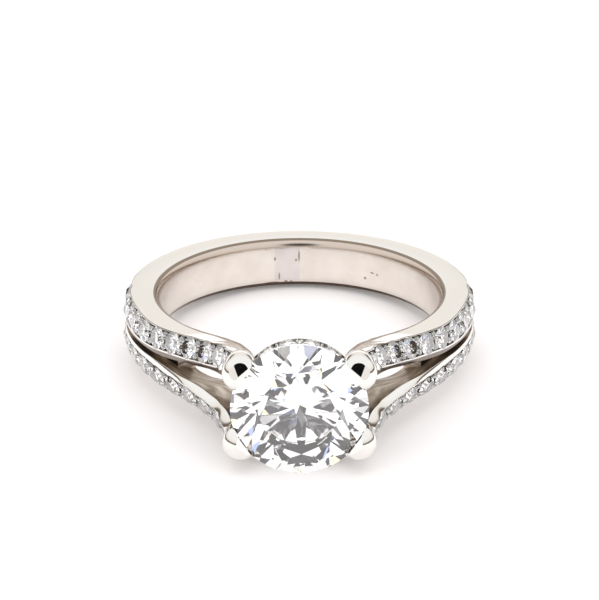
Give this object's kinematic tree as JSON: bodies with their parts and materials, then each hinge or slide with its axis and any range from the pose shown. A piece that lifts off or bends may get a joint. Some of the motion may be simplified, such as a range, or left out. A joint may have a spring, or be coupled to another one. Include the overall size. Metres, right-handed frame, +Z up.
{
  "type": "split-shank semi-mount ring with a round centre stone",
  "caption": "Split-shank finger ring lying on its side: plain band, pave rails, claws, gallery ring and round brilliant centre stone.",
  "frame": {"origin": "on the ground under the middle of the laid ring's box", "axes": "+Z up, -Y towards the head and its centre stone, X across the band, which is the same on both sides"},
  "size_m": [0.0214, 0.0264, 0.008],
  "materials": {
    "platinum": "polished platinum with bright-cut edges and a satin finger hole",
    "centre_stone": "polished facets of a colourless round brilliant",
    "small_stones": "polished facets of small colourless brilliants"
  },
  "bodies": {
    "root": {"mount": "platinum", "centre_stone": "centre_stone", "pave_left_upper": "small_stones", "pave_left_lower": "small_stones", "pave_right_upper": "small_stones", "pave_right_lower": "small_stones", "gallery_stones": "small_stones"}
  },
  "joints": []
}
